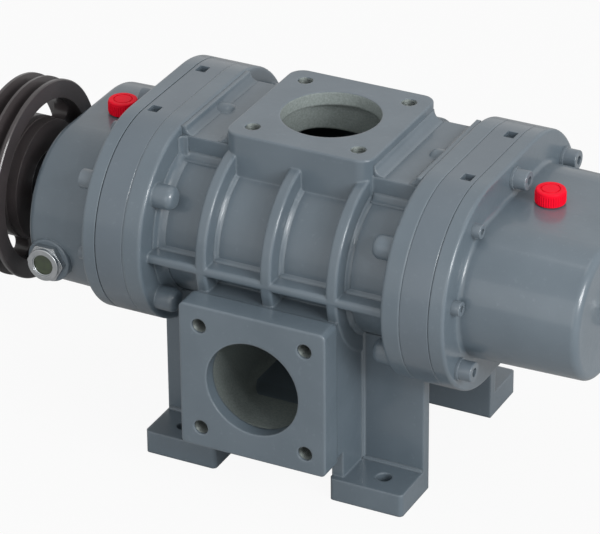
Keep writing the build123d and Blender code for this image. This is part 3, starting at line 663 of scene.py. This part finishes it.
@dataclass
class PortThreads(Piece):
    """The screw threads cut in the four holes of each port.

    Attributes:
        radius: hole radius in millimetres.
        pitch: thread pitch.
        depth: threaded depth.
        start: depth at which the thread starts.
        inset: how far the thread's middle stands in from the hole's wall.
        slimness: the ridge's height over that of an even-sided one.
    """

    radius: float = 7.0
    pitch: float = 2.0
    depth: float = 18.0
    start: float = 1.2
    inset: float = 0.5
    slimness: float = 0.8

    def coil(self, name: str) -> bpy.types.Object:
        """One thread as a coil of triangular section, going down from the origin.

        Args:
            name: the piece's name.

        Returns:
            The coil, with its axis on Z.
        """
        deselect()
        bpy.ops.mesh.primitive_circle_add(
            vertices=3, radius=self.pitch * 0.5 * MM, location=(0, 0, 0), rotation=(math.pi / 2, 0, 0)
        )
        bpy.ops.object.transform_apply(location=True, rotation=True, scale=True)
        section = bpy.context.object
        width = max(v.co.z for v in section.data.vertices) - min(v.co.z for v in section.data.vertices)
        bpy.ops.object.mode_set(mode="EDIT")
        bpy.ops.mesh.select_all(action="SELECT")
        bpy.ops.transform.resize(value=(self.slimness, 1, 0.5 * self.pitch * MM / width))
        bpy.ops.transform.translate(value=((self.radius - self.inset) * MM, 0, -self.start * MM))
        bpy.ops.object.mode_set(mode="OBJECT")
        turns = int(self.depth / self.pitch)
        screw = section.modifiers.new("thread", "SCREW")
        screw.steps = screw.render_steps = 20
        screw.screw_offset = -self.pitch * MM
        screw.iterations = turns
        screw.use_merge_vertices = True
        coil = settle(name)
        bpy.ops.object.mode_set(mode="EDIT")
        bpy.ops.mesh.select_all(action="SELECT")
        bpy.ops.mesh.fill_holes(sides=3)
        bpy.ops.object.mode_set(mode="OBJECT")
        return coil

    def build(self) -> None:
        """Cut the threads of both ports."""
        corners = [(sx * PORT_HALF, sy * PORT_HALF) for sx in (-1, 1) for sy in (-1, 1)]
        upper = [Matrix.Translation(Vector((x, y, INLET_FACE_Z)) * MM) for x, y in corners]
        self.finish(copies(self.coil("inlet_port_threads"), upper), "rotor_iron", "tapped_iron")
        lay = Matrix.Rotation(math.pi / 2, 4, "X")
        front = [
            Matrix.Translation(Vector((x, OUTLET_FACE_Y, OUTLET_Z + z)) * MM) @ lay for x, z in corners
        ]
        self.finish(copies(self.coil("outlet_port_threads"), front), "rotor_iron", "tapped_iron")


@dataclass
class CornerFillets(Piece):
    """The hollow radii that the casting has where its flat walls meet.

    Attributes:
        groups: a name for each group of strips, and for each strip its low corner, its high
            corner and the signs that point outward, with 0 on the axis along the strip.
    """

    groups: dict[str, list[tuple[tuple, tuple, tuple]]] = field(default_factory=dict)

    def strip(self, low: Sequence, high: Sequence, outward: Sequence) -> bpy.types.Object:
        """One hollow strip: a bar with its outer edge cut back to a concave curve.

        Args:
            low: lowest corner, in millimetres.
            high: highest corner.
            outward: signs that point from the walls' corner to the bar's outer edge.

        Returns:
            The strip.
        """
        deselect()
        bpy.ops.mesh.primitive_cube_add(size=1, location=[(a + b) / 2 * MM for a, b in zip(low, high)])
        bpy.context.object.scale = [(b - a) * MM for a, b in zip(low, high)]
        bpy.ops.object.transform_apply(location=True, rotation=True, scale=True)
        bpy.ops.object.mode_set(mode="EDIT")
        target = [
            (b if sign > 0 else a) * MM if sign else None for a, b, sign in zip(low, high, outward)
        ]

        def on_edge(place: Vector) -> bool:
            """Whether an edge's middle is on the bar's outer edge."""
            return all(t is None or abs(place[k] - t) < 1e-6 for k, t in enumerate(target))

        pick(on_edge, "EDGE")
        across = min(b - a for (a, b, sign) in zip(low, high, outward) if sign)
        bpy.ops.mesh.bevel(
            offset=HOLLOW_SHARE * across * MM,
            segments=8,
            profile=HOLLOW_PROFILE,
            clamp_overlap=False,
        )
        return settle("strip")

    def build(self) -> None:
        """Lay every group of strips."""
        for name, strips in self.groups.items():
            piece = join(name, [self.strip(*strip) for strip in strips])
            self.finish(piece, "casing_paint")


@dataclass
class ArcFillets(Piece):
    """The hollow radii that run round the chambers' wall beside ribs and flanges.

    Attributes:
        wall: outer radius of the chamber's wall, in millimetres.
        faces: place on X of each rib's or flange's face, the sign that points away from it,
            and the fillet's radius.
        upper: angles between the roof and the belt rib, in degrees from straight up.
        lower: the same below the belt rib, down to the outlet duct.
        leg: where the lower fillets beside the legs end instead.
        sink: how deep each fillet's back is sunk into rib and wall.
    """

    wall: float = CHAMBER_WALL_R
    faces: tuple[tuple[float, int, float], ...] = (
        (-116, 1, 9.0),
        (-69, -1, 4.0),
        (-58, 1, 4.0),
        (-5.5, -1, 4.0),
        (5.5, 1, 4.0),
        (58, -1, 4.0),
        (69, 1, 4.0),
        (116, -1, 9.0),
    )
    upper: tuple[float, float] = (13, 91)
    lower: tuple[float, float] = (97, 111)
    leg: float = 151
    sink: float = 0.4

    def sweep(self, face: float, away: int, size: float, axis_y: float, turn: tuple) -> bpy.types.Object:
        """One hollow fillet, swept round a shaft's axis.

        Args:
            face: place of the rib's face on X.
            away: sign that points away from the rib.
            size: the fillet's radius.
            axis_y: place of the shaft's axis on Y.
            turn: first and last angle, in degrees from straight up towards the front.

        Returns:
            The swept fillet.
        """
        deselect()
        bpy.ops.mesh.primitive_plane_add(size=1, location=(0, 0, 0), rotation=(math.pi / 2, 0, 0))
        section = bpy.context.object
        width = size + self.sink
        section.scale = (width * MM, width * MM, 1)
        bpy.ops.object.transform_apply(location=True, rotation=True, scale=True)
        reach = width / 2 - self.sink
        section.location = Vector((face + away * reach, 0, self.wall + reach)) * MM
        bpy.ops.object.transform_apply(location=True, rotation=True, scale=True)
        corner = (face + away * size) * MM, (self.wall + size) * MM
        bpy.ops.object.mode_set(mode="EDIT")
        pick(lambda p: abs(p.x - corner[0]) < 1e-6 and abs(p.z - corner[1]) < 1e-6, "VERT")
        bpy.ops.mesh.bevel(
            offset=HOLLOW_SHARE * size * MM,
            segments=6,
            profile=HOLLOW_PROFILE,
            affect="VERTICES",
            clamp_overlap=False,
        )
        bpy.ops.object.mode_set(mode="OBJECT")
        section.rotation_euler = (math.radians(turn[0]), 0, 0)
        bpy.ops.object.transform_apply(location=True, rotation=True, scale=True)
        section.location = Vector((0, axis_y, AXIS_Z)) * MM
        bpy.ops.object.transform_apply(location=True, rotation=True, scale=True)
        bpy.ops.object.mode_set(mode="EDIT")
        bpy.ops.mesh.select_all(action="SELECT")
        bpy.ops.mesh.spin(
            steps=max(4, round(abs(turn[1] - turn[0]) / 3)),
            angle=math.radians(turn[0] - turn[1]),
            center=(0, axis_y * MM, AXIS_Z * MM),
            axis=(1, 0, 0),
        )
        return settle("sweep")

    def build(self) -> None:
        """Sweep the fillets of the front and of the back."""
        for side, sign in (("front", 1), ("back", -1)):
            swept = []
            for face, away, size in self.faces:
                last = self.leg if abs(face) > DUCT_HALF_X else self.lower[1]
                for turn in (self.upper, (self.lower[0], last)):
                    turned = (sign * turn[0], sign * turn[1])
                    swept.append(self.sweep(face, away, size, -sign * SHAFT_Y, turned))
            self.finish(join(f"rib_root_fillets_{side}", swept), "casing_paint")


def casing_strips() -> dict[str, list[tuple[tuple, tuple, tuple]]]:
    """Where the casing's flat walls meet.

    Returns:
        Groups of strips, each with its low corner, high corner and outward signs.
    """
    groups: dict[str, list[tuple[tuple, tuple, tuple]]] = {}

    def lay(name: str, x: Sequence, y: Sequence, z: Sequence, outward: tuple) -> None:
        """Note one strip from its ranges, whichever way round each is given."""
        low, high = zip(*(sorted(limits) for limits in (x, y, z)))
        groups.setdefault(name, []).append((low, high, outward))

    wall_y = SHAFT_Y + CHAMBER_WALL_R
    belt_bottom, belt_top = BELT_RIB_Z
    for side, sx in (("gear", 1), ("pulley", -1)):
        pad = (sx * (PAD_HALF - 0.4), sx * (PAD_HALF + 10))
        lay(f"inlet_pad_root_{side}", pad, (-61, 61), (ROOF_Z - 0.4, ROOF_Z + 10), (sx, 0, 1))
        flange = (sx * (FLANGE_FACE_X + 0.3), sx * (FLANGE_FACE_X - 12))
        roof = (0.2 - ROOF_HALF_Y, ROOF_HALF_Y - 0.2)
        lay(f"roof_flange_root_{side}", flange, roof, (ROOF_Z - 0.4, ROOF_Z + 8.2), (-sx, 0, 1))
        duct = (sx * (DUCT_HALF_X - 0.4), sx * (DUCT_HALF_X + 3.5))
        leg = (-LEG_FACE_Y - 3.7, 0.5 - LEG_FACE_Y)
        lay(f"duct_leg_corner_{side}", duct, leg, (FOOT_TOP_Z - 0.5, 160), (sx, -1, 0))
        along = (sx * DUCT_HALF_X, sx * LEG_END_X)
        top = (FOOT_TOP_Z - 0.3, FOOT_TOP_Z + 3.5)
        for sy in (-1, 1):
            leg = (sy * (LEG_FACE_Y - 0.3), sy * (LEG_FACE_Y + 3.5))
            lay(f"leg_foot_corners_{side}", along, leg, top, (0, sy, 1))
    for side, sy in (("front", -1), ("back", 1)):
        above = (sy * (wall_y - 1.3), sy * (wall_y + 4.7))
        below = (sy * (wall_y - 2.3), sy * (wall_y + 3.7))
        for bay in RIB_BAYS:
            name = f"belt_rib_roots_{side}"
            lay(name, bay, above, (belt_top - 0.3, belt_top + 5.5), (0, sy, 1))
            lay(name, bay, below, (belt_bottom + 0.3, belt_bottom - 5.5), (0, sy, -1))
        for sx in (-1, 1):
            name = f"roof_wall_roots_{side}"
            wall = (sy * (ROOF_HALF_Y - 0.3), sy * (ROOF_HALF_Y + 6.5))
            rise = (ROOF_WALL_FOOT_Z - 4.6, ROOF_WALL_FOOT_Z + 6.4)
            lay(name, (sx * PAD_HALF, sx * (FLANGE_FACE_X - 1)), wall, rise, (0, sy, 1))
            end = (sx * (FLANGE_FACE_X + 0.3), sx * (FLANGE_FACE_X - 6.7))
            wall = (sy * (ROOF_HALF_Y - 0.3), sy * (ROOF_HALF_Y + 8))
            rise = (ROOF_WALL_FOOT_Z - 7.1, ROOF_Z - 0.3)
            lay(name, end, wall, rise, (-sx, sy, 0))
    return groups


@dataclass
class GlassRings(Piece):
    """The bright retaining ring round each level glass.

    Attributes:
        radius: mean radius of the ring in millimetres.
        wire: radius of its section.
    """

    radius: float = 10.2
    wire: float = 0.7

    def build(self) -> None:
        """Roll a ring onto the front of each fitting."""
        faces = (("front_sight_glass_fitting", 1, -1), ("end_sight_glass_fitting", 0, 1))
        for node, axis, sign in faces:
            low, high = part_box(node)
            middle = [(a + b) / 2 for a, b in zip(low, high)]
            face = high[axis] if sign > 0 else low[axis]
            middle[axis] = face - sign * 1.4 * MM
            turn = (math.pi / 2, 0, 0) if axis == 1 else (0, math.pi / 2, 0)
            deselect()
            bpy.ops.mesh.primitive_torus_add(
                location=middle, rotation=turn, major_segments=64, minor_segments=12,
                major_radius=self.radius * MM, minor_radius=self.wire * MM,
            )
            self.finish(settle(node.replace("fitting", "retaining_ring")), "glass_fitting")


# ---------------------------------------------------------------- studio
@dataclass
class Studio:
    """Camera, lamps, floor and sky.

    Attributes:
        lens: focal length for a 36 mm wide film, in millimetres.
        azimuth: degrees that the camera stands to the right of straight in front.
        elevation: degrees that it looks down.
        roll: degrees of tilt about the line of sight.
        distance: from the aimed height on the pump's middle, in millimetres.
        shift: sideways and upward travel of the camera, in millimetres.
        aim_height: height of the aimed point, in millimetres.
    """

    lens: float = 228.6
    azimuth: float = 26.93455
    elevation: float = 28.65155
    roll: float = -0.50158
    distance: float = 3408.8
    shift: tuple[float, float] = (28.61, 12.85)
    aim_height: float = 175.0

    def camera(self) -> None:
        """Stand the camera."""
        turn, lift, tilt = (math.radians(v) for v in (self.azimuth, self.elevation, self.roll))
        level = math.cos(lift)
        back = Vector((math.sin(turn) * level, -math.cos(turn) * level, math.sin(lift)))
        right = Vector((math.cos(turn), math.sin(turn), 0))
        up = back.cross(right)
        right, up = (
            math.cos(tilt) * right + math.sin(tilt) * up,
            math.cos(tilt) * up - math.sin(tilt) * right,
        )
        place = Vector((0, 0, self.aim_height)) + self.distance * back
        place -= self.shift[0] * right + self.shift[1] * up
        data = bpy.data.cameras.new("camera")
        data.lens = self.lens
        data.clip_end = 50
        camera = bpy.data.objects.new("camera", data)
        bpy.context.collection.objects.link(camera)
        basis = Matrix((right, up, back)).transposed().to_4x4()
        camera.matrix_world = Matrix.Translation(place * MM) @ basis
        bpy.context.scene.camera = camera

    def lamp(self, name: str, place: tuple, size: float, power: float, aim: tuple) -> None:
        """Hang one square soft box.

        Args:
            name: the lamp's name.
            place: where it hangs, in metres.
            size: its width, in metres.
            power: watts.
            aim: the point that it faces, in metres.
        """
        data = bpy.data.lights.new(name, "AREA")
        data.size = size
        data.energy = power
        lamp = bpy.data.objects.new(name, data)
        bpy.context.collection.objects.link(lamp)
        lamp.location = place
        lamp.rotation_euler = (Vector(place) - Vector(aim)).to_track_quat("Z", "Y").to_euler()

    def floor(self) -> None:
        """Lay the pale floor."""
        deselect()
        bpy.ops.mesh.primitive_plane_add(size=12, location=(0, 0, -0.3 * MM))
        floor = settle("floor")
        material = bpy.data.materials.new("white paper")
        material.use_nodes = True
        path = add_node(material, "LightPath").outputs
        seen = add_node(
            material,
            "Math",
            {0: path["Is Camera Ray"], 1: path["Is Transmission Ray"]},
            operation="MAXIMUM",
        ).outputs[0]
        paper = material.node_tree.nodes["Principled BSDF"]
        paper.inputs["Base Color"].default_value = linear("#b4b4b4")
        paper.inputs["Roughness"].default_value = 0.9
        glow = add_node(material, "Emission", {"Color": linear("#ffffff"), "Strength": 1.0})
        both = add_node(material, "MixShader", {0: 0.0, 1: paper.outputs[0], 2: glow.outputs[0]})
        part = add_node(material, "Math", {0: seen, 1: 0.93}, operation="MULTIPLY").outputs[0]
        material.node_tree.links.new(part, both.inputs[0])
        output = material.node_tree.nodes["Material Output"]
        material.node_tree.links.new(both.outputs[0], output.inputs["Surface"])
        dress(floor, material)

    def sky(self) -> None:
        """Fill the room with even white light, seen as white by the camera."""
        world = bpy.data.worlds.new("studio")
        bpy.context.scene.world = world
        world.use_nodes = True
        background = world.node_tree.nodes["Background"]
        background.inputs["Color"].default_value = linear("#ffffff")
        path = add_node(world, "LightPath").outputs
        seen = add_node(
            world,
            "Math",
            {0: path["Is Camera Ray"], 1: path["Is Transmission Ray"]},
            operation="MAXIMUM",
        ).outputs[0]
        level = add_node(world, "MapRange", {"Value": seen, "To Min": 0.68, "To Max": 1.0})
        world.node_tree.links.new(level.outputs[0], background.inputs["Strength"])

    def build(self) -> None:
        """Set the whole studio."""
        self.sky()
        self.floor()
        self.camera()
        middle = (0.0, 0.0, 0.2)
        self.lamp("right_key", (2.7, -1.1, 1.5), 1.2, 58.0, middle)
        self.lamp("right_spark", (2.2, -1.9, 1.9), 0.22, 10.0, middle)
        self.lamp("front_fill", (0.2, -3.0, 1.0), 2.4, 14.0, middle)
        self.lamp("top_box", (0.1, 0.1, 2.4), 0.9, 2.5, middle)
        bpy.context.scene.view_settings.view_transform = "Standard"


def main() -> None:
    """Dress the CAD frame, add the fine pieces and set the studio."""
    logging.basicConfig(level=logging.INFO, format="%(name)s %(message)s")
    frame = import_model()
    materials = {slot: finish.build() for slot, finish in FINISHES.items()}
    for row in frame["record"]["subparts"]:
        node = frame["nodes"][row["node"]]
        dress(node, materials[row["material_slot"]])
        log.info("%s: %s", row["node"], row["material_slot"])
    PortThreads(materials).build()
    CornerFillets(materials, groups=casing_strips()).build()
    ArcFillets(materials).build()
    GlassRings(materials).build()
    Studio().build()


if __name__ == "__main__":
    main()
